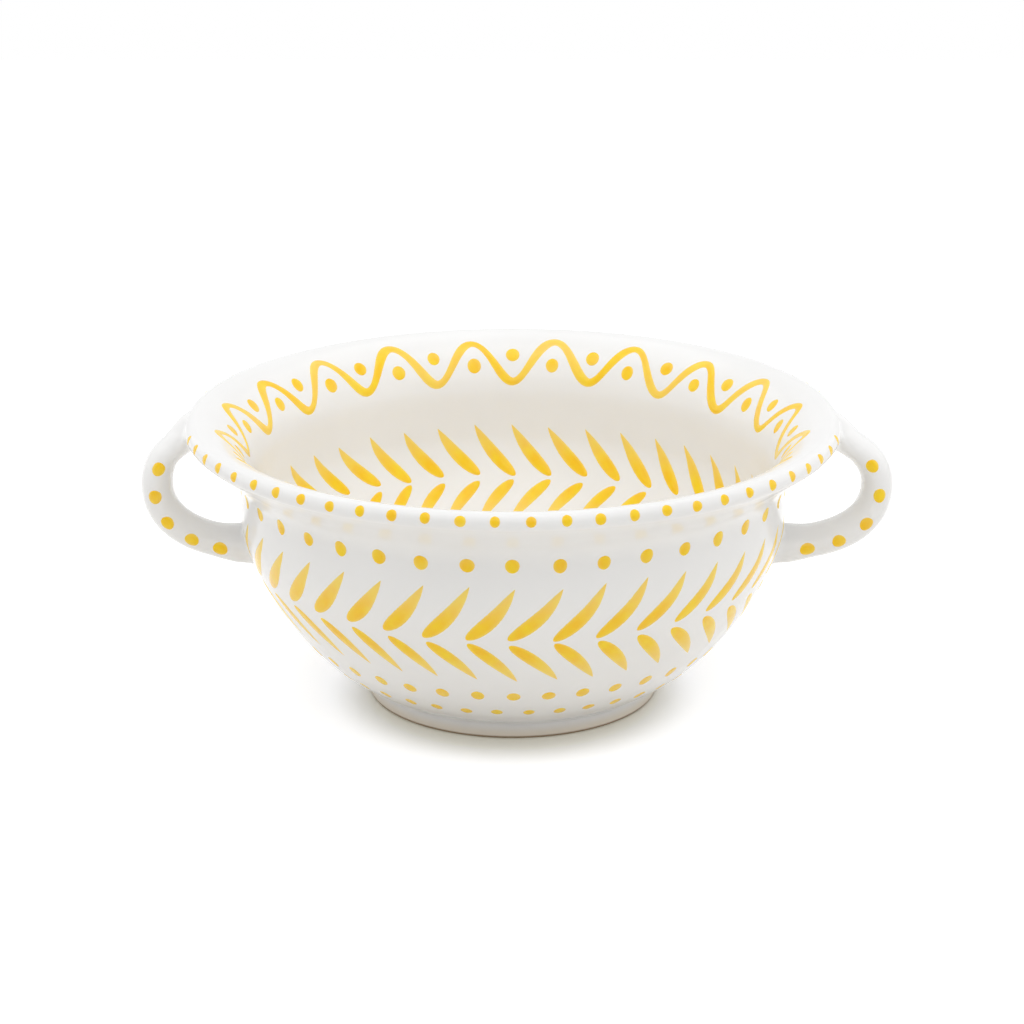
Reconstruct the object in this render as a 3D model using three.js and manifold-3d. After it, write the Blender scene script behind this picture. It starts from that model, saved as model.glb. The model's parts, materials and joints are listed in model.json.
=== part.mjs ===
// Lug serving bowl: a thrown bowl with a turned foot and an everted rim, and two strap handles
// bent to loops. Slip lutes each handle to the rim above and to the wall below.
// Millimetres, +Z up. The origin is the centre of the foot on the table, +X runs through the right handle.

import * as THREE from 'three';
import { mergeVertices } from 'three/addons/utils/BufferGeometryUtils.js';
import Module from 'manifold-3d';

const wasm = await Module();
wasm.setup();

// Bowl
const RIM_RADIUS = 140; // outermost edge of the lip
const RIM_OVERHANG = 22.8; // the lip's reach past the outside of the neck
const BOWL_HEIGHT = 125; // crest of the lip above the table
const LIP_RADIUS = 4; // rounding of the lip's edge
const FLARE_DEPTH = 31; // from the crest down to where the outside starts to turn out
const RIM_DEPTH = 29; // from the crest down to where the inside has become upright
const NECK_LENGTH = 14; // upright stretch between the belly and the flare
const WALL = 5.5; // thickness of the belly and the neck

// Foot
const FOOT_RADIUS = 63;
const FOOT_HEIGHT = 7;
const FOOT_BEVEL = 1;
const FOOT_RING_WIDTH = 8; // flat ring that stands on the table
const FOOT_RECESS = 3; // hollow inside the ring
const RECESS_SLOPE = 2; // sideways run of the ring's inner flank
const FLOOR_THICKNESS = 6;
const FLOOR_RADIUS = 30; // flat middle of the floor inside the bowl

// Run of the outline's curves: the angles and the lengths of their end tangents
const BELLY_ANGLE = THREE.MathUtils.degToRad(25); // rise of the belly where it leaves the foot
const BELLY_PULL_AT_FOOT = 38;
const BELLY_PULL_AT_NECK = 12;
const FLOOR_PULL = 7;
const FLARE_PULL_AT_NECK = 11;
const FLARE_PULL_AT_LIP = 14;
const RIM_PULL_AT_LIP = 13;
const RIM_PULL_AT_NECK = 14;
const LIP_START = THREE.MathUtils.degToRad(-50); // where the underside of the rim meets the round lip
const LIP_END = THREE.MathUtils.degToRad(100); // where the round lip meets the inside of the rim

// Handles
const HANDLE_THICKNESS = 13.6;
const HANDLE_WIDTH = 22;
const RIGHT_OVERHANG = 24; // reach past the lip
const LEFT_OVERHANG = 20.3;
const BOW_DROP = 32.5; // the loop's widest point, below the crest of the lip
const BOW_PULL_UP = 12.5;
const BOW_PULL_DOWN = 19;
const UPPER_ROOT_DROP = 6.2; // start of the strap's middle line, below the crest
const UPPER_ROOT_ANGLE = THREE.MathUtils.degToRad(-6);
const UPPER_ROOT_PULL = 5; // how far past the lip this angle still pulls the strap
const UPPER_ROOT_WIDTH = 34;
const UPPER_ROOT_THICKNESS = 11;
const UPPER_SWELL = 11; // over which the strap widens towards the rim
const UPPER_TAPER = 26; // over which it thins towards the rim
const LOWER_ROOT_DROP = 59.5; // end of the middle line, below the crest
const RIGHT_LOWER_PULL = 25; // how far out from the wall the strap's end pulls it level
const LEFT_LOWER_PULL = 20;
const LOWER_ROOT_WIDTH = 28;
const LOWER_ROOT_THICKNESS = 16.5;
const LOWER_SWELL = 18; // over which the strap swells towards the wall

// Slip joints
const SLIP_THICKNESS = 1.2;
const SLIP_COLLAR = 2; // how far the slip stands out round the strap
const GAP = 0.3; // between pieces that touch

// Fineness of the facets
const TURNS = 64;
const CURVE_STEPS = 7;
const LIP_STEPS = 10;
const HANDLE_STEPS = 26;
const SECTION_SIDES = 16;
const MERGE_TOLERANCE = 1e-4;

const point = (x, y) => new THREE.Vector2(x, y);
const towards = (start, angle, length) => point(
  start.x + Math.cos(angle) * length,
  start.y + Math.sin(angle) * length,
);

// Outline of the bowl, as radius and height

const lipCentre = point(RIM_RADIUS - LIP_RADIUS, BOWL_HEIGHT - LIP_RADIUS);
const neckRadius = RIM_RADIUS - RIM_OVERHANG;
const neckTop = BOWL_HEIGHT - FLARE_DEPTH;
const neckBottom = neckTop - NECK_LENGTH;

function bellyPoints() {
  const foot = point(FOOT_RADIUS, FOOT_HEIGHT);
  return new THREE.CubicBezierCurve(
    foot,
    towards(foot, BELLY_ANGLE, BELLY_PULL_AT_FOOT),
    point(neckRadius, neckBottom - BELLY_PULL_AT_NECK),
    point(neckRadius, neckBottom),
  ).getPoints(CURVE_STEPS);
}

function flarePoints() {
  const lip = towards(lipCentre, LIP_START, LIP_RADIUS);
  return new THREE.CubicBezierCurve(
    point(neckRadius, neckTop),
    point(neckRadius, neckTop + FLARE_PULL_AT_NECK),
    towards(lip, LIP_START - Math.PI / 2, FLARE_PULL_AT_LIP),
    lip,
  ).getPoints(CURVE_STEPS);
}

function lipPoints(end) {
  const arc = new THREE.EllipseCurve(lipCentre.x, lipCentre.y, LIP_RADIUS, LIP_RADIUS, LIP_START, end);
  return arc.getPoints(LIP_STEPS).slice(1);
}

function rimInsidePoints() {
  const lip = towards(lipCentre, LIP_END, LIP_RADIUS);
  const neck = point(neckRadius - WALL, BOWL_HEIGHT - RIM_DEPTH);
  return new THREE.CubicBezierCurve(
    lip,
    towards(lip, LIP_END + Math.PI / 2, RIM_PULL_AT_LIP),
    point(neck.x, neck.y + RIM_PULL_AT_NECK),
    neck,
  ).getPoints(CURVE_STEPS).slice(1);
}

// Moves an outline sideways: outwards for a positive distance where it runs up the outside
function offset(points, distance) {
  return points.map((here, i) => {
    const before = points[Math.max(i - 1, 0)];
    const after = points[Math.min(i + 1, points.length - 1)];
    const along = after.clone().sub(before).normalize();
    return point(here.x + along.y * distance, here.y - along.x * distance);
  });
}

function floorPoints(edge) {
  const level = FOOT_RECESS + FLOOR_THICKNESS;
  return new THREE.QuadraticBezierCurve(
    edge,
    point(edge.x - FLOOR_PULL, level),
    point(FLOOR_RADIUS, level),
  ).getPoints(CURVE_STEPS).slice(1);
}

function bodyOutline() {
  const ringInside = FOOT_RADIUS - FOOT_BEVEL - FOOT_RING_WIDTH;
  const insideBelly = offset(bellyPoints(), -WALL).reverse();
  return [
    point(0, FOOT_RECESS),
    point(ringInside - RECESS_SLOPE, FOOT_RECESS),
    point(ringInside, 0),
    point(FOOT_RADIUS - FOOT_BEVEL, 0),
    point(FOOT_RADIUS, FOOT_BEVEL),
    ...bellyPoints(),
    ...flarePoints(),
    ...lipPoints(LIP_END),
    ...rimInsidePoints(),
    ...insideBelly,
    ...floorPoints(insideBelly.at(-1)),
    point(0, FOOT_RECESS + FLOOR_THICKNESS),
  ];
}

// The room that the bowl takes up, grown outwards and closed over the top: it trims the handles
function envelopeOutline(grow) {
  const side = offset([...bellyPoints(), ...flarePoints(), ...lipPoints(Math.PI / 2)], grow);
  const roof = BOWL_HEIGHT + HANDLE_THICKNESS + SLIP_COLLAR;
  return [point(0, side[0].y), ...side, point(side.at(-1).x, roof), point(0, roof)];
}

// Outer radius of the wall at some height
function wallRadius(level) {
  const side = [...bellyPoints(), ...flarePoints()];
  const above = Math.max(side.findIndex((here) => here.y >= level), 1);
  const upper = side[above];
  const lower = side[above - 1];
  return THREE.MathUtils.mapLinear(level, lower.y, upper.y, lower.x, upper.x);
}

function turned(outline) {
  return new THREE.LatheGeometry(outline, TURNS).rotateX(Math.PI / 2);
}

// Joining and cutting of closed meshes

function solid(geometry) {
  const bare = geometry.clone();
  bare.deleteAttribute('normal');
  bare.deleteAttribute('uv');
  const merged = mergeVertices(bare, MERGE_TOLERANCE);
  const index = merged.index.array;
  const triangles = [];
  for (let i = 0; i < index.length; i += 3) {
    const corners = [index[i], index[i + 1], index[i + 2]];
    if (new Set(corners).size === 3) triangles.push(...corners);
  }
  return new wasm.Manifold(new wasm.Mesh({
    numProp: 3,
    vertProperties: Float32Array.from(merged.attributes.position.array),
    triVerts: Uint32Array.from(triangles),
  }));
}

function shape(manifold) {
  const mesh = manifold.getMesh();
  const geometry = new THREE.BufferGeometry();
  geometry.setAttribute('position', new THREE.BufferAttribute(mesh.vertProperties, 3));
  geometry.setIndex(new THREE.BufferAttribute(mesh.triVerts, 1));
  geometry.computeVertexNormals();
  return geometry;
}

// Handles, made at the right and in the XZ plane

const lowerRootLevel = BOWL_HEIGHT - LOWER_ROOT_DROP;
const lowerRootWall = wallRadius(lowerRootLevel);
// The strap's lower end lies deep enough in the wall for its whole section to be inside it
const lowerRootEnd = wallRadius(lowerRootLevel - LOWER_ROOT_THICKNESS / 2 - SLIP_COLLAR) - WALL;

function handleCurve(overhang, lowerPull) {
  const root = new THREE.Vector3(neckRadius, 0, BOWL_HEIGHT - UPPER_ROOT_DROP);
  const bow = new THREE.Vector3(RIM_RADIUS + overhang - HANDLE_THICKNESS / 2, 0, BOWL_HEIGHT - BOW_DROP);
  const end = new THREE.Vector3(lowerRootEnd, 0, lowerRootLevel);
  const leaving = RIM_OVERHANG + UPPER_ROOT_PULL;
  const curve = new THREE.CurvePath();
  curve.add(new THREE.CubicBezierCurve3(
    root,
    new THREE.Vector3(root.x + leaving, 0, root.z + leaving * Math.tan(UPPER_ROOT_ANGLE)),
    new THREE.Vector3(bow.x, 0, bow.z + BOW_PULL_UP),
    bow,
  ));
  curve.add(new THREE.CubicBezierCurve3(
    bow,
    new THREE.Vector3(bow.x, 0, bow.z - BOW_PULL_DOWN),
    new THREE.Vector3(lowerRootWall + lowerPull, 0, end.z),
    end,
  ));
  return curve;
}

// What a size of the strap gains towards a root, from nothing at some reach to the full gain
function gained(gain, distance, reach) {
  return gain * THREE.MathUtils.smoothstep(reach - distance, 0, reach);
}

// The strap between two places on its middle line, both from 0 to 1, grown by some thickness
function strap(curve, from, to, grow) {
  const length = curve.getLength();
  const lowerDepth = lowerRootWall - lowerRootEnd;
  const positions = [];
  const index = [];
  for (let i = 0; i <= HANDLE_STEPS; i++) {
    const t = THREE.MathUtils.lerp(from, to, i / HANDLE_STEPS);
    const centre = curve.getPointAt(t);
    const along = curve.getTangentAt(t);
    const outwards = new THREE.Vector3(-along.z, 0, along.x);
    const fromRim = length * t - RIM_OVERHANG;
    const fromWall = length * (1 - t) - lowerDepth;
    const width = HANDLE_WIDTH
      + gained(UPPER_ROOT_WIDTH - HANDLE_WIDTH, fromRim, UPPER_SWELL)
      + gained(LOWER_ROOT_WIDTH - HANDLE_WIDTH, fromWall, LOWER_SWELL);
    const thickness = HANDLE_THICKNESS
      + gained(UPPER_ROOT_THICKNESS - HANDLE_THICKNESS, fromRim, UPPER_TAPER)
      + gained(LOWER_ROOT_THICKNESS - HANDLE_THICKNESS, fromWall, LOWER_SWELL);
    for (let k = 0; k < SECTION_SIDES; k++) {
      const angle = 2 * Math.PI * k / SECTION_SIDES;
      const corner = centre.clone().addScaledVector(outwards, (thickness / 2 + grow) * Math.cos(angle));
      corner.y += (width / 2 + grow) * Math.sin(angle);
      positions.push(...corner.toArray());
    }
  }
  const at = (ring, k) => ring * SECTION_SIDES + k % SECTION_SIDES;
  for (let ring = 0; ring < HANDLE_STEPS; ring++) {
    for (let k = 0; k < SECTION_SIDES; k++) {
      index.push(at(ring, k), at(ring + 1, k), at(ring + 1, k + 1));
      index.push(at(ring, k), at(ring + 1, k + 1), at(ring, k + 1));
    }
  }
  for (let k = 1; k < SECTION_SIDES - 1; k++) {
    index.push(at(0, 0), at(0, k), at(0, k + 1));
    index.push(at(HANDLE_STEPS, 0), at(HANDLE_STEPS, k + 1), at(HANDLE_STEPS, k));
  }
  const geometry = new THREE.BufferGeometry();
  geometry.setAttribute('position', new THREE.Float32BufferAttribute(positions, 3));
  geometry.setIndex(index);
  return geometry;
}

const slipInside = solid(turned(envelopeOutline(GAP)));
const slipOutside = solid(turned(envelopeOutline(GAP + SLIP_THICKNESS)));
const handleSeat = solid(turned(envelopeOutline(GAP + SLIP_THICKNESS + GAP)));

const handleShape = (curve) => shape(solid(strap(curve, 0, 1, 0)).subtract(handleSeat));

function slipShape(curve, from, to) {
  const layer = solid(strap(curve, from, to, SLIP_COLLAR)).intersect(slipOutside);
  return shape(layer.subtract(slipInside));
}

// Materials
const glaze = new THREE.MeshStandardMaterial({ color: 0xf0eee9, roughness: 0.15, metalness: 0 });
const glazedSlip = new THREE.MeshStandardMaterial({ color: 0xe9e6df, roughness: 0.2, metalness: 0 });

// Assembly

function piece(name, geometry, material) {
  const mesh = new THREE.Mesh(geometry, material.clone());
  mesh.name = name;
  return mesh;
}

function handle(side, overhang, lowerPull) {
  const curve = handleCurve(overhang, lowerPull);
  const bowAt = curve.curves[0].getLength() / curve.getLength();
  const group = new THREE.Group();
  group.add(
    piece(`${side}_handle`, handleShape(curve), glaze),
    piece(`${side}_upper_slip_joint`, slipShape(curve, 0, bowAt), glazedSlip),
    piece(`${side}_lower_slip_joint`, slipShape(curve, bowAt, 1), glazedSlip),
  );
  return group;
}

const bowl = new THREE.Group();
const right = handle('right', RIGHT_OVERHANG, RIGHT_LOWER_PULL);
const left = handle('left', LEFT_OVERHANG, LEFT_LOWER_PULL);
left.rotation.z = Math.PI;
bowl.add(piece('bowl_body', turned(bodyOutline()), glaze), right, left);

export default bowl;
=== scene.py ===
import json
import math
import random

import bmesh
import bpy
import numpy as np
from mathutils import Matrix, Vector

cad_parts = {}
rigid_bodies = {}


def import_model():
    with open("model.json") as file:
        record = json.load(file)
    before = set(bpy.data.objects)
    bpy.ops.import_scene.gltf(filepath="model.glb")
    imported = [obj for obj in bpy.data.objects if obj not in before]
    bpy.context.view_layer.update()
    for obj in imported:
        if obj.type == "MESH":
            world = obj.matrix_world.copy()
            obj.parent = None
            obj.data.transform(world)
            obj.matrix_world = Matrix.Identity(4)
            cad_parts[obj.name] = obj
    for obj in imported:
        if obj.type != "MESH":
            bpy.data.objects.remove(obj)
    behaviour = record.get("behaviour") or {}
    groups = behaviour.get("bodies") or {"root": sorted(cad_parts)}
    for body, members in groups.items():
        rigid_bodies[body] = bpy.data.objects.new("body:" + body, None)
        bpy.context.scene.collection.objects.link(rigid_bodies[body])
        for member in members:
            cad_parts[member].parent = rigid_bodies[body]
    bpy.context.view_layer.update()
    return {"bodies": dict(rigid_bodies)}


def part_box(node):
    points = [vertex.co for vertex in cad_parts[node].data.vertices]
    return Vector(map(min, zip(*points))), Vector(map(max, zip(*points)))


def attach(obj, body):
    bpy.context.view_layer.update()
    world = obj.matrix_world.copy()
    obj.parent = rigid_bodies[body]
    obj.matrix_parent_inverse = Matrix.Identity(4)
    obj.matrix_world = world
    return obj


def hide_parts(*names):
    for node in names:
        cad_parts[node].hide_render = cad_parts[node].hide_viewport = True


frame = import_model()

# Lug serving bowl: a thrown bowl in white glaze with brushed yellow motifs, and two strap handles.
# Shapes are worked out in millimetres and written to the meshes in metres.
MM = 0.001
STROKE_RISE = 0.22  # how far the thick yellow glaze stands up from the white
RIM_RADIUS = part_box("bowl_body")[1].x / MM - STROKE_RISE
BOWL_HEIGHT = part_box("bowl_body")[1].z / MM - STROKE_RISE
HANDLE_REACH = {
    "right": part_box("right_handle")[1].x / MM - STROKE_RISE,
    "left": -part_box("left_handle")[0].x / MM - STROKE_RISE,
}

# Bowl
RIM_OVERHANG = 22.8
LIP_RADIUS = 4.0
FLARE_DEPTH = 31.0
RIM_DEPTH = 29.0
NECK_LENGTH = 14.0
WALL = 5.5
FOOT_RADIUS = 63.0
FOOT_HEIGHT = 7.0
FOOT_EDGE = 1.0
FOOT_CREASE = 1.4
FOOT_RING_WIDTH = 8.0
FOOT_RECESS = 3.0
RECESS_SLOPE = 2.0
FLOOR_THICKNESS = 6.0
FLOOR_RADIUS = 30.0
BELLY_ANGLE = math.radians(25)
BELLY_PULL_AT_FOOT = 38.0
BELLY_PULL_AT_NECK = 12.0
FLOOR_PULL = 7.0
FLARE_PULL_AT_NECK = 11.0
FLARE_PULL_AT_LIP = 14.0
RIM_PULL_AT_LIP = 13.0
RIM_PULL_AT_NECK = 14.0
LIP_START = math.radians(-50)
LIP_END = math.radians(100)

# Handles
HANDLE_THICKNESS = 13.6
HANDLE_WIDTH = 22.0
BOW_DROP = 32.5
BOW_PULL_UP = 12.5
BOW_PULL_DOWN = 19.0
UPPER_ROOT_DROP = 6.2
UPPER_ROOT_ANGLE = math.radians(-6)
UPPER_ROOT_PULL = 5.0
UPPER_ROOT_WIDTH = 26.0
UPPER_ROOT_THICKNESS = 11.0
UPPER_SWELL = 14.0
UPPER_TAPER = 26.0
LOWER_ROOT_DROP = 59.5
LOWER_ROOT_WIDTH = 28.0
LOWER_ROOT_THICKNESS = 16.5
LOWER_SWELL = 18.0
LOWER_PULL = {"right": 25.0, "left": 20.0}
STRAP_RIDGE = 0.12  # height of the faint ridges that pulling leaves along the strap
STRAP_RIDGE_COUNT = 7
UPPER_BLEND = 9.0  # length over which the strap runs out into the rim
LOWER_BLEND = 5.0  # and into the wall
UPPER_SEAT_WIDTH = 54.0  # of the clay worked out along the rim
UPPER_SEAT_TOP = math.radians(96)  # place on the round lip
UPPER_SEAT_SIDE = math.radians(20)
UPPER_SEAT_BOTTOM = 127.0  # radius on the underside of the rim
LOWER_SEAT_WIDTH = 35.0
LOWER_SEAT_HEIGHT = 24.0
SEAT_SKIRT = ((1.07, -0.12), (1.02, -1.2), (0.6, -2.0))  # scale and lift of the rings hidden in the bowl

# Brushed decoration
STROKE_SINK = 0.03  # the yellow edge lies this far under the white surface
STROKE_DEPTH = 0.5  # and its hidden underside this far
FULL_RISE_HALF_WIDTH = 1.6  # a stroke narrower than this stands lower
LEAF_COUNT = 40  # in each row
LEAF_LENGTH = 32.0  # at the neck, less where the bowl is narrower
LEAF_WIDTH = 9.4
LEAF_SLANT = math.radians(50)
LEAF_BEND = 1.6  # how far its middle bows out, at the neck
LEAF_UNEVEN = (0.95, 1.05)  # the hand's least and most share of the length
LEAF_TURN = 0.05
WREATH_LEVEL = 62.0  # where the two rows of leaves meet outside
WREATH_GAP = 3.0
DOT_WIDTH = 8.2
DOT_COUNT = 40
DOT_UNEVEN = (0.92, 1.06)  # the hand's least and most share of the width
DOT_SHAKE = 0.3
TOP_DOTS_LEVEL = 96.0
TOP_DOTS_WIDTH = 6.56
LOW_DOTS_LEVELS = (31.0, 19.5)
WAVE_COUNT = 20
WAVE_PLACE = 21.0  # along the inside from the crest
WAVE_REACH = 10.0
WAVE_WIDTH = 4.4
WAVE_SHAKE = 0.7
WAVE_DOTS_WIDTH = 6.97
WAVE_DOTS_PLACE = 2.5  # to either side of the wave's middle
INNER_WREATH = 76.0  # along the inside from the crest
PETAL_COUNT = 12
PETAL_FROM = 14.0  # radii on the floor
PETAL_TO = 46.0
LIP_DOT_WIDTH = 4.8
LIP_DOT_DROP = 4.8  # along the lip from its crest to the outside
LIP_DOT_COUNT = 64
HANDLE_CLEARANCE = math.radians(12)  # half the arc that a handle's clay covers on the rim and wall
STRAP_DOT_COUNT = 5
STRAP_DOT_WIDTH = 6.4

# Fineness
TURNS = 288
CURVE_STEPS = 40
STRAP_SIDES = 72
STRAP_STEPS = 72
BLEND_STEPS = 14
STROKE_SIDES = 11
DOT_STEPS = 22
LEAF_STEPS = 46
WAVE_STEPS = 960
EDGE_STEPS = 6

rng = random.Random(7)


# Outlines

def bezier(points, steps):
    t = np.linspace(0, 1, steps + 1)[:, None]
    a, b, c, d = (np.array(p, float) for p in points)
    return (1 - t) ** 3 * a + 3 * (1 - t) ** 2 * t * b + 3 * (1 - t) * t ** 2 * c + t ** 3 * d


def rounded(before, corner, after, steps):
    t = np.linspace(0, 1, steps + 1)[:, None]
    a, b, c = (np.array(p, float) for p in (before, corner, after))
    return (1 - t) ** 2 * a + 2 * (1 - t) * t * b + t ** 2 * c


def towards(start, angle, length):
    return (start[0] + math.cos(angle) * length, start[1] + math.sin(angle) * length)


def offset(points, distance):
    along = np.gradient(points, axis=0)
    along /= np.linalg.norm(along, axis=1)[:, None]
    return points + distance * np.stack([along[:, 1], -along[:, 0]], 1)


LIP_CENTRE = (RIM_RADIUS - LIP_RADIUS, BOWL_HEIGHT - LIP_RADIUS)
NECK_RADIUS = RIM_RADIUS - RIM_OVERHANG
NECK_TOP = BOWL_HEIGHT - FLARE_DEPTH
NECK_BOTTOM = NECK_TOP - NECK_LENGTH
FLOOR_LEVEL = FOOT_RECESS + FLOOR_THICKNESS


def belly_outline():
    foot = (FOOT_RADIUS, FOOT_HEIGHT)
    return bezier([
        foot,
        towards(foot, BELLY_ANGLE, BELLY_PULL_AT_FOOT),
        (NECK_RADIUS, NECK_BOTTOM - BELLY_PULL_AT_NECK),
        (NECK_RADIUS, NECK_BOTTOM),
    ], CURVE_STEPS)


def flare_outline():
    lip = towards(LIP_CENTRE, LIP_START, LIP_RADIUS)
    return bezier([
        (NECK_RADIUS, NECK_TOP),
        (NECK_RADIUS, NECK_TOP + FLARE_PULL_AT_NECK),
        towards(lip, LIP_START - math.pi / 2, FLARE_PULL_AT_LIP),
        lip,
    ], CURVE_STEPS)


def lip_outline():
    angles = np.linspace(LIP_START, LIP_END, CURVE_STEPS + 1)
    ring = np.stack([np.cos(angles), np.sin(angles)], 1)
    return np.array(LIP_CENTRE) + LIP_RADIUS * ring


def rim_inside_outline():
    lip = towards(LIP_CENTRE, LIP_END, LIP_RADIUS)
    neck = (NECK_RADIUS - WALL, BOWL_HEIGHT - RIM_DEPTH)
    return bezier([
        lip,
        towards(lip, LIP_END + math.pi / 2, RIM_PULL_AT_LIP),
        (neck[0], neck[1] + RIM_PULL_AT_NECK),
        neck,
    ], CURVE_STEPS)


def straight(start, end, steps):
    return np.linspace(start, end, steps + 1)


def joined(*stretches):
    """The stretches in a row, without the points that two of them share."""
    points = np.concatenate(stretches)
    step = np.linalg.norm(np.diff(points, axis=0), axis=1)
    return points[np.concatenate([[True], step > 1e-6])]


def foot_outline():
    """From the middle of the underside to the outer edge of the foot ring."""
    ring = FOOT_RADIUS - FOOT_EDGE - FOOT_RING_WIDTH
    hollow = (ring - RECESS_SLOPE, FOOT_RECESS)
    flank = (ring, 0.0)
    slope = math.atan2(flank[1] - hollow[1], flank[0] - hollow[0])
    up_flank = slope + math.pi
    return joined(
        straight((0.0, FOOT_RECESS), (hollow[0] - FOOT_EDGE, FOOT_RECESS), 4),
        rounded((hollow[0] - FOOT_EDGE, FOOT_RECESS), hollow, towards(hollow, slope, FOOT_EDGE), EDGE_STEPS),
        rounded(towards(flank, up_flank, FOOT_EDGE), flank, (ring + FOOT_EDGE, 0.0), EDGE_STEPS),
        rounded((FOOT_RADIUS - FOOT_EDGE, 0.0), (FOOT_RADIUS, 0.0), (FOOT_RADIUS, FOOT_EDGE), EDGE_STEPS),
    )


def crease_outline(belly):
    foot = (FOOT_RADIUS, FOOT_HEIGHT)
    below = (FOOT_RADIUS, FOOT_HEIGHT - FOOT_CREASE)
    past = np.linalg.norm(belly - np.array(foot), axis=1) > FOOT_CREASE
    upper = belly[past]
    return rounded(below, foot, upper[0], 8), upper


def floor_outline(edge):
    return joined(
        rounded(edge, (edge[0] - FLOOR_PULL, FLOOR_LEVEL), (FLOOR_RADIUS, FLOOR_LEVEL), CURVE_STEPS // 2),
        straight((FLOOR_RADIUS, FLOOR_LEVEL), (0.0, FLOOR_LEVEL), 6),
    )


class Skin:
    """The bowl's glazed surface from the foot's edge, over the lip, to the middle of the floor.
    A place on it is an angle round the axis and a length along the outline."""

    def __init__(self):
        belly = belly_outline()
        crease, upper = crease_outline(belly)
        inside = offset(belly, -WALL)[::-1]
        self.points = joined(
            straight((FOOT_RADIUS, FOOT_EDGE), (FOOT_RADIUS, FOOT_HEIGHT - FOOT_CREASE), 4),
            crease,
            upper,
            straight((NECK_RADIUS, NECK_BOTTOM), (NECK_RADIUS, NECK_TOP), 8),
            flare_outline(),
            lip_outline(),
            rim_inside_outline(),
            straight((NECK_RADIUS - WALL, BOWL_HEIGHT - RIM_DEPTH), inside[0], 6),
            inside,
            floor_outline(tuple(inside[-1])),
        )
        step = np.linalg.norm(np.diff(self.points, axis=0), axis=1)
        self.length = np.concatenate([[0.0], np.cumsum(step)])
        along = np.gradient(self.points, self.length, axis=0)
        along /= np.linalg.norm(along, axis=1)[:, None]
        self.normal = np.stack([along[:, 1], -along[:, 0]], 1)
        self.crest = self.length[np.argmax(self.points[:, 1])]

    def place(self, angle, length, lift=0.0):
        radius = np.interp(length, self.length, self.points[:, 0])
        level = np.interp(length, self.length, self.points[:, 1])
        out = np.interp(length, self.length, self.normal[:, 0])
        up = np.interp(length, self.length, self.normal[:, 1])
        radius = radius + lift * out
        return np.stack([radius * np.cos(angle), radius * np.sin(angle), level + lift * up], -1)

    def outside_at_level(self, level):
        outside = self.length < self.crest
        return np.interp(level, self.points[outside, 1], self.length[outside])

    def lip_at(self, angle):
        start = self.length[np.argmin(np.linalg.norm(self.points - lip_outline()[0], axis=1))]
        return start + LIP_RADIUS * (angle - LIP_START)

    def flare_at_radius(self, radius):
        flare = flare_outline()
        return self.outside_at_level(np.interp(radius, flare[:, 0], flare[:, 1]))


skin = Skin()


# Meshes

def make_piece(name, vertices, faces, slot, material):
    mesh = bpy.data.meshes.new(name)
    mesh.from_pydata((np.asarray(vertices) * MM).tolist(), [], faces)
    solid = bmesh.new()
    solid.from_mesh(mesh)
    bmesh.ops.recalc_face_normals(solid, faces=solid.faces[:])
    solid.to_mesh(mesh)
    solid.free()
    mesh.shade_smooth()
    mesh.materials.append(material)
    piece = bpy.data.objects.new(name, mesh)
    bpy.context.scene.collection.objects.link(piece)
    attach(piece, "root")
    return piece


def between_rings(first, second, sides):
    """Faces from one closed ring of vertices to the next."""
    return [
        (first + k, first + (k + 1) % sides, second + (k + 1) % sides, second + k)
        for k in range(sides)
    ]


def turned_mesh(outline):
    """A closed solid of revolution: the outline starts and ends on the axis."""
    angles = np.linspace(0, 2 * math.pi, TURNS, endpoint=False)
    rings = [
        np.stack([r * np.cos(angles), r * np.sin(angles), np.full(TURNS, z)], 1)
        for r, z in outline[1:-1]
    ]
    vertices = np.concatenate([*rings, [[0, 0, outline[0][1]]], [[0, 0, outline[-1][1]]]])
    faces = []
    for ring in range(len(rings) - 1):
        faces += between_rings(ring * TURNS, (ring + 1) * TURNS, TURNS)
    bottom = len(vertices) - 2
    top = len(vertices) - 1
    last = (len(rings) - 1) * TURNS
    for k in range(TURNS):
        faces.append((bottom, (k + 1) % TURNS, k))
        faces.append((top, last + k, last + (k + 1) % TURNS))
    return vertices, faces


# Handles, worked out at the right and in the XZ plane

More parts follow.
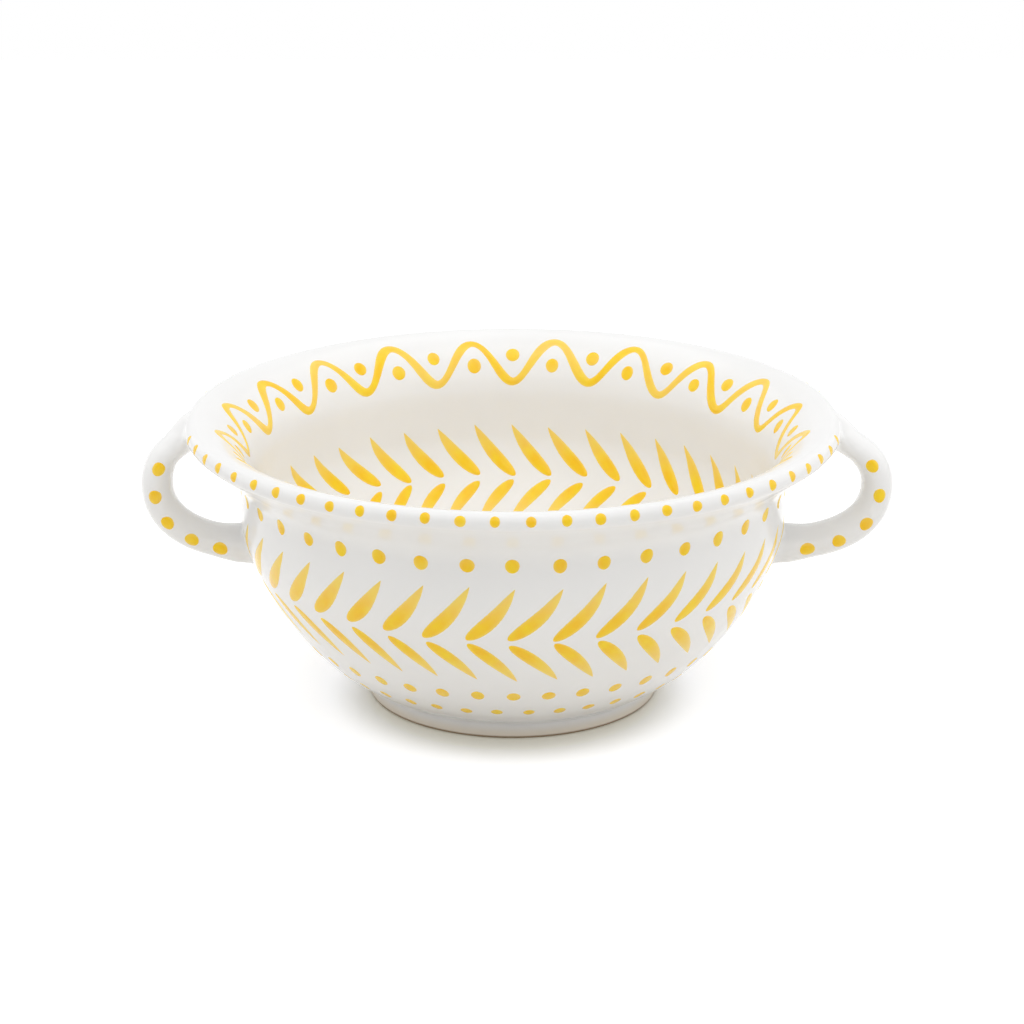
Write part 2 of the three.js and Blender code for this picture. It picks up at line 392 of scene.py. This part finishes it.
class Strap:
    """The strap's middle line and its oval section along it."""

    def __init__(self, side):
        self.turn = 1.0 if side == "right" else -1.0
        root = (NECK_RADIUS, BOWL_HEIGHT - UPPER_ROOT_DROP)
        bow = (HANDLE_REACH[side] - HANDLE_THICKNESS / 2, BOWL_HEIGHT - BOW_DROP)
        level = BOWL_HEIGHT - LOWER_ROOT_DROP
        self.lower_seat = skin.outside_at_level(level)
        wall = skin.place(0.0, self.lower_seat)[0]
        leaving = RIM_OVERHANG + UPPER_ROOT_PULL
        upper = bezier([
            root,
            (root[0] + leaving, root[1] + leaving * math.tan(UPPER_ROOT_ANGLE)),
            (bow[0], bow[1] + BOW_PULL_UP),
            bow,
        ], CURVE_STEPS * 3)
        lower = bezier([
            bow,
            (bow[0], bow[1] - BOW_PULL_DOWN),
            (wall + LOWER_PULL[side], level),
            (wall, level),
        ], CURVE_STEPS * 3)
        self.points = joined(upper, lower)
        step = np.linalg.norm(np.diff(self.points, axis=0), axis=1)
        self.length = np.concatenate([[0.0], np.cumsum(step)])
        self.along = np.gradient(self.points, self.length, axis=0)
        self.start = RIM_OVERHANG + UPPER_BLEND
        self.end = self.length[-1] - LOWER_BLEND

    def middle(self, at):
        return np.stack([np.interp(at, self.length, self.points[:, i]) for i in (0, 1)], -1)

    def direction(self, at):
        along = np.stack([np.interp(at, self.length, self.along[:, i]) for i in (0, 1)], -1)
        return along / np.linalg.norm(along, axis=-1)[..., None]

    def half_size(self, at, size, upper_size, upper_reach, lower_size, lower_reach):
        """Half of a thickness or width that changes smoothly towards both ends."""
        upper = np.clip(1 - (at - RIM_OVERHANG) / upper_reach, 0, 1)
        lower = np.clip(1 - (self.length[-1] - at) / lower_reach, 0, 1)
        gain = (upper_size - size) * upper ** 2 * (3 - 2 * upper)
        gain = gain + (lower_size - size) * lower ** 2 * (3 - 2 * lower)
        return (size + gain) / 2

    def half_thickness(self, at):
        return self.half_size(at, HANDLE_THICKNESS, UPPER_ROOT_THICKNESS, UPPER_TAPER,
                              LOWER_ROOT_THICKNESS, LOWER_SWELL)

    def half_width(self, at):
        return self.half_size(at, HANDLE_WIDTH, UPPER_ROOT_WIDTH, UPPER_SWELL,
                              LOWER_ROOT_WIDTH, LOWER_SWELL)

    def place(self, angle, at, lift=0.0):
        """Angle 0 is the outer face of the loop, a right angle is its +Y edge."""
        middle = self.middle(at)
        along = self.direction(at)
        ridges = STRAP_RIDGE * np.cos(STRAP_RIDGE_COUNT * angle) * np.sin(angle) ** 2
        across = (self.half_thickness(at) + lift + ridges) * np.cos(angle)
        sideways = (self.half_width(at) + lift) * np.sin(angle)
        x = middle[..., 0] - along[..., 1] * across
        z = middle[..., 1] + along[..., 0] * across
        return np.stack([self.turn * x, self.turn * sideways, z + 0 * sideways], -1)

    def on_skin(self, angle, length, lift=0.0):
        turn = 0.0 if self.turn > 0 else math.pi
        return skin.place(angle + turn, length, lift)


def upper_seat(strap, angle, scale=1.0, lift=0.0):
    """The outline on the rim where the strap's clay runs out, as the strap's section goes round."""
    side = skin.lip_at(UPPER_SEAT_SIDE)
    above = skin.lip_at(UPPER_SEAT_TOP) - side
    below = side - skin.flare_at_radius(UPPER_SEAT_BOTTOM)
    rise = np.where(np.cos(angle) > 0, above, below) * np.cos(angle)
    turn = UPPER_SEAT_WIDTH / 2 / RIM_RADIUS * np.sin(angle)
    return strap.on_skin(scale * turn, side + scale * rise, lift)


def lower_seat(strap, angle, scale=1.0, lift=0.0):
    """The outline on the wall. The strap's outer face has become its underside there."""
    rise = -LOWER_SEAT_HEIGHT / 2 * np.cos(angle)
    turn = LOWER_SEAT_WIDTH / 2 / NECK_RADIUS * np.sin(angle)
    return strap.on_skin(scale * turn, strap.lower_seat + scale * rise, lift)


def blend_rings(strap, angles, at, seat, direction):
    """Rings from the strap's section to its seat, leaving along the strap and landing along the skin."""
    start = strap.place(angles, np.full(angles.shape, at))
    end = seat(strap, angles)
    pull = np.linalg.norm(end - start, axis=1)[:, None]
    along = strap.direction(at) * direction
    leaving = pull * np.array([strap.turn * along[0], 0.0, along[1]])
    landing = seat(strap, angles, 1.05) - seat(strap, angles, 0.95)
    landing *= pull / np.linalg.norm(landing, axis=1)[:, None]
    rings = []
    for t in np.linspace(0, 1, BLEND_STEPS + 1)[1:]:
        rings.append(
            (2 * t ** 3 - 3 * t ** 2 + 1) * start
            + (t ** 3 - 2 * t ** 2 + t) * leaving
            + (3 * t ** 2 - 2 * t ** 3) * end
            + (t ** 3 - t ** 2) * landing
        )
    for scale, lift in SEAT_SKIRT:
        rings.append(seat(strap, angles, scale, lift))
    return rings


def handle_mesh(strap):
    angles = np.linspace(0, 2 * math.pi, STRAP_SIDES, endpoint=False)
    rings = blend_rings(strap, angles, strap.start, upper_seat, -1)[::-1]
    for at in np.linspace(strap.start, strap.end, STRAP_STEPS + 1):
        rings.append(strap.place(angles, np.full(angles.shape, at)))
    rings += blend_rings(strap, angles, strap.end, lower_seat, 1)
    vertices = np.concatenate([*rings, rings[0].mean(0)[None], rings[-1].mean(0)[None]])
    faces = []
    for ring in range(len(rings) - 1):
        faces += between_rings((ring + 1) * STRAP_SIDES, ring * STRAP_SIDES, STRAP_SIDES)
    first = len(vertices) - 2
    last = (len(rings) - 1) * STRAP_SIDES
    for k in range(STRAP_SIDES):
        after = (k + 1) % STRAP_SIDES
        faces.append((first, k, after))
        faces.append((first + 1, last + after, last + k))
    return vertices, faces


# Brushed decoration

def stroke_mesh(place, first, second, half, spread, closed=False):
    """A brush stroke of thick glaze along a path on a surface, in the surface's two coordinates.
    Spread is how thin the glaze has run at each place, from 0 to 1."""
    eps = 1e-4
    here = place(first, second)
    e1 = (place(first + eps, second) - place(first - eps, second)) / (2 * eps)
    e2 = (place(first, second + eps) - place(first, second - eps)) / (2 * eps)
    normal = np.cross(e1, e2)
    if closed:
        along = np.roll(here, -1, 0) - np.roll(here, 1, 0)
    else:
        along = np.gradient(here, axis=0)
    aside = np.cross(normal, along)
    aside /= np.linalg.norm(aside, axis=1)[:, None]
    g11, g12, g22 = (e1 * e1).sum(1), (e1 * e2).sum(1), (e2 * e2).sum(1)
    a1, a2 = (e1 * aside).sum(1), (e2 * aside).sum(1)
    scale = g11 * g22 - g12 * g12
    step1 = (g22 * a1 - g12 * a2) / scale
    step2 = (g11 * a2 - g12 * a1) / scale
    rise = STROKE_RISE * np.clip(half / FULL_RISE_HALF_WIDTH, 0.1, 1)
    rows, thin = [], []
    for o in np.linspace(-1, 1, STROKE_SIDES):
        dome = (1 - o * o) ** 1.3
        rows.append(place(first + o * half * step1, second + o * half * step2, rise * dome - STROKE_SINK))
        thin.append(np.clip(0.6 * abs(o) ** 4 + spread, 0, 1))
    for o in (0.8, 0.0, -0.8):
        rows.append(place(first + o * half * step1, second + o * half * step2, -STROKE_DEPTH))
        thin.append(np.ones(len(half)))
    sides = len(rows)
    vertices = np.stack(rows, 1).reshape(-1, 3)
    faces = []
    count = len(half)
    for i in range(count if closed else count - 1):
        faces += between_rings(i * sides, (i + 1) % count * sides, sides)
    if not closed:
        faces.append(tuple(range(sides))[::-1])
        faces.append(tuple(range((count - 1) * sides, count * sides)))
    return vertices, faces, np.stack(thin, 1).reshape(-1)


def gathered(meshes):
    """Several strokes as one mesh."""
    vertices, faces, thin, base = [], [], [], 0
    for v, f, t in meshes:
        vertices.append(v)
        faces += [tuple(base + i for i in face) for face in f]
        thin.append(t)
        base += len(v)
    return np.concatenate(vertices), faces, np.concatenate(thin)


def radius_at(length):
    return np.interp(length, skin.length, skin.points[:, 0])


def by_handle(angle):
    return abs(math.remainder(angle, math.pi)) < HANDLE_CLEARANCE


def dot(place, first, second, width):
    """A round dab of the brush, a little uneven. The second coordinate is a length."""
    turn = np.linspace(0.06, math.pi - 0.06, DOT_STEPS)
    half = width / 2 * rng.uniform(*DOT_UNEVEN) * np.sin(turn)
    lengths = second - width / 2 * rng.uniform(*DOT_UNEVEN) * np.cos(turn)
    spread = 0.08 + 0.12 * np.cos(turn + rng.uniform(0, 3))
    return stroke_mesh(place, np.full(len(turn), first), lengths, half, spread)


def leaf(angle, length, slant, reach, width, bend):
    """One stroke pressed down at its round end and lifted to a tip."""
    share = (1 - np.cos(np.linspace(0.08, math.pi - 0.08, LEAF_STEPS))) / 2
    reach = reach * rng.uniform(*LEAF_UNEVEN)
    slant = slant + rng.uniform(-LEAF_TURN, LEAF_TURN)
    v = reach * (share - 0.5)
    w = bend * (1 - (2 * share - 1) ** 2)
    lengths = length + v * math.sin(slant) + w * math.cos(slant)
    aside = v * math.cos(slant) - w * math.sin(slant)
    half = width / 2 * 1.86 * share ** 0.5 * (1 - share) ** 0.85
    spread = 0.04 + 0.42 * share ** 2 + 0.1 * np.sin(6 * share + 40 * angle)
    return stroke_mesh(skin.place, angle + aside / radius_at(lengths), lengths, half, spread)


def ring_of_dots(length, width, count, shift, near_handles):
    for i in range(count):
        angle = 2 * math.pi * (i + shift) / count
        if near_handles or not by_handle(angle):
            aside = rng.uniform(-DOT_SHAKE, DOT_SHAKE) / radius_at(length)
            yield dot(skin.place, angle + aside, length + rng.uniform(-DOT_SHAKE, DOT_SHAKE), width)


def row_of_leaves(length, slant, near_handles):
    share = radius_at(length) / NECK_RADIUS
    for i in range(LEAF_COUNT):
        angle = 2 * math.pi * (i + 0.5) / LEAF_COUNT
        if near_handles or not by_handle(angle):
            bend = math.copysign(LEAF_BEND * share, -slant)
            yield leaf(angle, length, slant, LEAF_LENGTH * share, LEAF_WIDTH * share, bend)


def wreath(length, near_handles):
    """Two rows of leaves that lean away from each other."""
    rise = (LEAF_LENGTH * math.sin(LEAF_SLANT) + WREATH_GAP) / 2 * radius_at(length) / NECK_RADIUS
    yield from row_of_leaves(length + rise, LEAF_SLANT, near_handles)
    yield from row_of_leaves(length - rise, -LEAF_SLANT, near_handles)


def outer_meshes():
    yield from wreath(skin.outside_at_level(WREATH_LEVEL), False)
    yield from ring_of_dots(skin.outside_at_level(TOP_DOTS_LEVEL), TOP_DOTS_WIDTH, DOT_COUNT, 0.0, True)
    for i, level in enumerate(LOW_DOTS_LEVELS):
        length = skin.outside_at_level(level)
        width = DOT_WIDTH * radius_at(length) / NECK_RADIUS
        yield from ring_of_dots(length, width, DOT_COUNT, i / 2, True)


def wave():
    angles = np.linspace(0, 2 * math.pi, WAVE_STEPS, endpoint=False)
    phase = rng.uniform(0, 2 * math.pi)
    lengths = skin.crest + WAVE_PLACE + WAVE_REACH * np.cos(WAVE_COUNT * angles)
    lengths = lengths + WAVE_SHAKE * np.sin(7 * angles + phase)
    press = 0.14 * np.sin(2 * WAVE_COUNT * angles) + 0.08 * np.sin(9 * angles + phase)
    half = WAVE_WIDTH / 2 * (1 + press)
    spread = 0.12 + 0.14 * np.sin(13 * angles + phase)
    return stroke_mesh(skin.place, angles, lengths, half, spread, True)


def inner_meshes():
    yield wave()
    for shift, side in ((0.0, -1), (0.5, 1)):
        length = skin.crest + WAVE_PLACE + side * WAVE_DOTS_PLACE
        yield from ring_of_dots(length, WAVE_DOTS_WIDTH, WAVE_COUNT, shift, True)
    yield from wreath(skin.crest + INNER_WREATH, True)
    middle = skin.length[-1]
    for i in range(PETAL_COUNT):
        angle = 2 * math.pi * (i + 0.5) / PETAL_COUNT
        reach = PETAL_TO - PETAL_FROM
        yield leaf(angle, middle - (PETAL_FROM + PETAL_TO) / 2, math.pi / 2, reach, LEAF_WIDTH, 0.0)


def lip_meshes():
    yield from ring_of_dots(skin.crest - LIP_DOT_DROP, LIP_DOT_WIDTH, LIP_DOT_COUNT, 0.5, False)


def strap_meshes(strap):
    for edge in (-math.pi / 2, math.pi / 2):
        for i in range(STRAP_DOT_COUNT):
            at = strap.start + (strap.end - strap.start) * (i + 0.6) / (STRAP_DOT_COUNT + 0.2)
            yield dot(strap.place, edge, at, STRAP_DOT_WIDTH)


# Materials

GLAZE_SPECULAR = 0.35
WHITE_COLOURS = ((0.892, 0.889, 0.883), (0.917, 0.915, 0.91))
WHITE_CLOUD_SCALE = 22
WHITE_ROUGHNESS = (0.12, 0.2)
WHITE_SHEEN_SCALE = 60
# Painted shade: the foot's wall turns a darker warm tone towards the table, partly thin glaze and partly
# painted shade where the foot meets the table.
THIN_GLAZE_AND_SHADE_COLOUR = (0.88, 0.805, 0.69)
THIN_GLAZE_AND_SHADE_LEVELS = (0.0012, 0.0065)  # metres above the table
BARE_CLAY_COLOUR = (0.38, 0.27, 0.18)
BARE_CLAY_LEVELS = (0.0006, 0.0014)
BARE_CLAY_ROUGHNESS = 0.75
THROWING_RING_SCALE = 45
THROWING_RING_DEPTH = 0.0003
YELLOW_COLOURS = ((1.0, 0.59, 0.002), (1.0, 0.70, 0.008))
YELLOW_THIN_COLOUR = (1.0, 0.80, 0.30)
YELLOW_CLOUD_SCALE = 140
YELLOW_ROUGHNESS = (0.1, 0.2)


def new_material(name):
    material = bpy.data.materials.new(name)
    material.use_nodes = True
    nodes = material.node_tree.nodes
    return material, nodes, material.node_tree.links, nodes["Principled BSDF"]


def noise(nodes, links, coordinates, scale, detail):
    node = nodes.new("ShaderNodeTexNoise")
    node.inputs["Scale"].default_value = scale
    node.inputs["Detail"].default_value = detail
    links.new(coordinates, node.inputs["Vector"])
    return node.outputs["Fac"]


def ramp(nodes, links, factor, stops):
    node = nodes.new("ShaderNodeValToRGB")
    elements = node.color_ramp.elements
    for element, (position, colour) in zip(elements, stops):
        element.position = position
        element.color = (*colour, 1)
    links.new(factor, node.inputs["Fac"])
    return node.outputs["Color"]


def mix(nodes, links, factor, first, second):
    node = nodes.new("ShaderNodeMix")
    node.data_type = "RGBA"
    for value, socket in zip((factor, first, second), (node.inputs[0], node.inputs[6], node.inputs[7])):
        if isinstance(value, bpy.types.NodeSocket):
            links.new(value, socket)
        else:
            socket.default_value = (*value, 1)
    return node.outputs[2]


def to_range(nodes, links, value, low, high, new_low, new_high):
    node = nodes.new("ShaderNodeMapRange")
    node.interpolation_type = "SMOOTHSTEP"
    links.new(value, node.inputs["Value"])
    for name, number in (("From Min", low), ("From Max", high), ("To Min", new_low), ("To Max", new_high)):
        node.inputs[name].default_value = number
    return node.outputs["Result"]


def bump(nodes, links, height, strength, distance):
    node = nodes.new("ShaderNodeBump")
    node.inputs["Strength"].default_value = strength
    node.inputs["Distance"].default_value = distance
    links.new(height, node.inputs["Height"])
    return node.outputs["Normal"]


def white_glaze():
    material, nodes, links, shader = new_material("white_glaze")
    place = nodes.new("ShaderNodeTexCoord").outputs["Object"]
    split = nodes.new("ShaderNodeSeparateXYZ")
    links.new(place, split.inputs[0])
    cloud = noise(nodes, links, place, WHITE_CLOUD_SCALE, 4)
    colour = ramp(nodes, links, cloud, zip((0.3, 0.7), WHITE_COLOURS))
    # Thin glaze and painted shade: the foot's wall darkens to a warm tone towards the table.
    thin = to_range(nodes, links, split.outputs["Z"], *THIN_GLAZE_AND_SHADE_LEVELS, 1, 0)
    colour = mix(nodes, links, thin, colour, THIN_GLAZE_AND_SHADE_COLOUR)
    bare = to_range(nodes, links, split.outputs["Z"], *BARE_CLAY_LEVELS, 1, 0)
    colour = mix(nodes, links, bare, colour, BARE_CLAY_COLOUR)
    links.new(colour, shader.inputs["Base Color"])
    streaks = noise(nodes, links, place, WHITE_SHEEN_SCALE, 3)
    sheen = to_range(nodes, links, streaks, 0.3, 0.7, *WHITE_ROUGHNESS)
    dull = to_range(nodes, links, split.outputs["Z"], *BARE_CLAY_LEVELS, BARE_CLAY_ROUGHNESS, 0)
    rough = nodes.new("ShaderNodeMath")
    rough.operation = "MAXIMUM"
    links.new(sheen, rough.inputs[0])
    links.new(dull, rough.inputs[1])
    links.new(rough.outputs[0], shader.inputs["Roughness"])
    shader.inputs["Specular IOR Level"].default_value = GLAZE_SPECULAR
    rings = nodes.new("ShaderNodeTexWave")
    rings.bands_direction = "Z"
    rings.inputs["Scale"].default_value = THROWING_RING_SCALE
    rings.inputs["Distortion"].default_value = 1.5
    rings.inputs["Detail Scale"].default_value = 0.4
    links.new(place, rings.inputs["Vector"])
    relief = bump(nodes, links, rings.outputs["Fac"], 0.06, THROWING_RING_DEPTH)
    links.new(relief, shader.inputs["Normal"])
    return material


def yellow_glaze():
    material, nodes, links, shader = new_material("yellow_glaze")
    place = nodes.new("ShaderNodeTexCoord").outputs["Object"]
    flow = nodes.new("ShaderNodeAttribute")
    flow.attribute_name = "thin"
    cloud = noise(nodes, links, place, YELLOW_CLOUD_SCALE, 3)
    deep = ramp(nodes, links, cloud, zip((0.35, 0.7), YELLOW_COLOURS))
    colour = mix(nodes, links, flow.outputs["Fac"], deep, YELLOW_THIN_COLOUR)
    links.new(colour, shader.inputs["Base Color"])
    links.new(to_range(nodes, links, cloud, 0.3, 0.7, *YELLOW_ROUGHNESS), shader.inputs["Roughness"])
    shader.inputs["Specular IOR Level"].default_value = GLAZE_SPECULAR
    return material


# The object

def brushed_piece(name, meshes, material):
    vertices, faces, thin = gathered(meshes)
    piece = make_piece(name, vertices, faces, "yellow_glaze", material)
    attribute = piece.data.attributes.new("thin", "FLOAT", "POINT")
    attribute.data.foreach_set("value", thin.astype(np.float32))
    return piece


white = white_glaze()
yellow = yellow_glaze()

body = make_piece("thrown_bowl", *turned_mesh(joined(foot_outline(), skin.points)), "white_glaze", white)
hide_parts("bowl_body")
for side in ("right", "left"):
    strap = Strap(side)
    handle = make_piece(f"{side}_strap", *handle_mesh(strap), "white_glaze", white)
    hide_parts(f"{side}_handle", f"{side}_upper_slip_joint", f"{side}_lower_slip_joint")
    brushed_piece(f"{side}_strap_dots", strap_meshes(strap), yellow)
brushed_piece("outer_wreath", outer_meshes(), yellow)
brushed_piece("inner_garland", inner_meshes(), yellow)
brushed_piece("lip_dots", lip_meshes(), yellow)


# Stage, light and camera

FLOOR_SIZE = 3.2
FLOOR_LIT = (0.93, 0.915, 0.885)
FLOOR_GLOW_IN_PAINTED_SHADOW = (0.03, 0.03, 0.0)  # weak round the foot, a painted shadow laid over the floor's own shadow
FLOOR_GLOW_FAR = (0.38, 0.40, 0.44)  # lifts the open floor to white
PAINTED_SHADOW_CENTRE = (0, -0.012, 0)  # puts the painted shadow a little to the front, as if the light came from behind
PAINTED_SHADOW_FROM = 0.055  # distances from there over which the painted shadow fades out
PAINTED_SHADOW_TO = 0.083
CAMERA_PLACE = (-0.0004, -1.2006, 0.4832)
CAMERA_PITCH = math.radians(18.595)
CAMERA_ANGLE = 2 * math.atan(512 / 2930)
ROOM_LIGHT = 0.35
# Each softbox: place and size in metres, power in watts. Those at the side and back stand in pairs.
SOFTBOX_ABOVE = ((-0.05, 0.5, 2.2), 2.8, 15.6)
SOFTBOX_FRONT = ((0.15, -1.0, 1.9), 3.0, 20.6)
SOFTBOX_SIDE = ((2.0, -0.3, 0.8), 2.6, 7.6)
SOFTBOX_BACK = ((1.7, 1.1, 1.2), 2.6, 6.6)


def light_path(nodes, links):
    """1 for what the camera sees, also in reflections and through glass."""
    path = nodes.new("ShaderNodeLightPath")
    total = path.outputs["Is Camera Ray"]
    for name in ("Is Glossy Ray", "Is Transmission Ray"):
        node = nodes.new("ShaderNodeMath")
        node.operation = "MAXIMUM"
        links.new(total, node.inputs[0])
        links.new(path.outputs[name], node.inputs[1])
        total = node.outputs[0]
    return total


def make_floor():
    half = FLOOR_SIZE / 2
    mesh = bpy.data.meshes.new("floor")
    corners = [(-half, -half, 0), (half, -half, 0), (half, half, 0), (-half, half, 0)]
    mesh.from_pydata(corners, [], [(0, 1, 2, 3)])
    material = bpy.data.materials.new("floor")
    material.use_nodes = True
    nodes = material.node_tree.nodes
    links = material.node_tree.links
    nodes.clear()
    lit = nodes.new("ShaderNodeBsdfDiffuse")
    lit.inputs["Color"].default_value = (*FLOOR_LIT, 1)
    glow = nodes.new("ShaderNodeEmission")
    distance = nodes.new("ShaderNodeVectorMath")
    distance.operation = "LENGTH"
    links.new(nodes.new("ShaderNodeTexCoord").outputs["Object"], distance.inputs[0])
    # Painted shadow: the glow is weakest round the foot and rises outwards, so a darker zone lies there over
    # the floor's own shadow.
    out_of_painted_shadow = to_range(nodes, links, distance.outputs["Value"], PAINTED_SHADOW_FROM, PAINTED_SHADOW_TO, 0, 1)
    links.new(mix(nodes, links, out_of_painted_shadow, FLOOR_GLOW_IN_PAINTED_SHADOW, FLOOR_GLOW_FAR), glow.inputs["Color"])
    links.new(light_path(nodes, links), glow.inputs["Strength"])
    both = nodes.new("ShaderNodeAddShader")
    links.new(lit.outputs[0], both.inputs[0])
    links.new(glow.outputs[0], both.inputs[1])
    output = nodes.new("ShaderNodeOutputMaterial")
    links.new(both.outputs[0], output.inputs["Surface"])
    mesh.materials.append(material)
    floor = bpy.data.objects.new("floor", mesh)
    floor.location = PAINTED_SHADOW_CENTRE
    bpy.context.scene.collection.objects.link(floor)


def make_world():
    world = bpy.data.worlds.new("studio")
    world.use_nodes = True
    nodes = world.node_tree.nodes
    links = world.node_tree.links
    nodes.clear()
    room = nodes.new("ShaderNodeBackground")
    room.inputs["Strength"].default_value = ROOM_LIGHT
    white_wall = nodes.new("ShaderNodeBackground")
    choose = nodes.new("ShaderNodeMixShader")
    for background in (room, white_wall):
        background.inputs["Color"].default_value = (1, 1, 1, 1)
    links.new(light_path(nodes, links), choose.inputs["Fac"])
    links.new(room.outputs[0], choose.inputs[1])
    links.new(white_wall.outputs[0], choose.inputs[2])
    output = nodes.new("ShaderNodeOutputWorld")
    links.new(choose.outputs[0], output.inputs["Surface"])
    bpy.context.scene.world = world


def make_lamp(name, target, place, size, power):
    light = bpy.data.lights.new(name, "AREA")
    light.shape = "DISK"
    light.size = size
    light.energy = power
    lamp = bpy.data.objects.new(name, light)
    lamp.location = place
    bpy.context.scene.collection.objects.link(lamp)
    aim = lamp.constraints.new("TRACK_TO")
    aim.track_axis = "TRACK_NEGATIVE_Z"
    aim.up_axis = "UP_Y"
    aim.target = target


def make_camera():
    data = bpy.data.cameras.new("camera")
    data.angle = CAMERA_ANGLE
    camera = bpy.data.objects.new("camera", data)
    camera.location = CAMERA_PLACE
    camera.rotation_euler = (math.pi / 2 - CAMERA_PITCH, 0, 0)
    bpy.context.scene.collection.objects.link(camera)
    bpy.context.scene.camera = camera


make_floor()
make_world()
make_camera()
middle = frame["bodies"]["root"]
make_lamp("softbox_above", middle, *SOFTBOX_ABOVE)
make_lamp("softbox_front", middle, *SOFTBOX_FRONT)
for side in (-1, 1):
    for name, (place, size, power) in (("softbox_side", SOFTBOX_SIDE), ("softbox_back", SOFTBOX_BACK)):
        make_lamp(name, middle, (side * place[0], *place[1:]), size, power)
bpy.context.scene.view_settings.view_transform = "Standard"
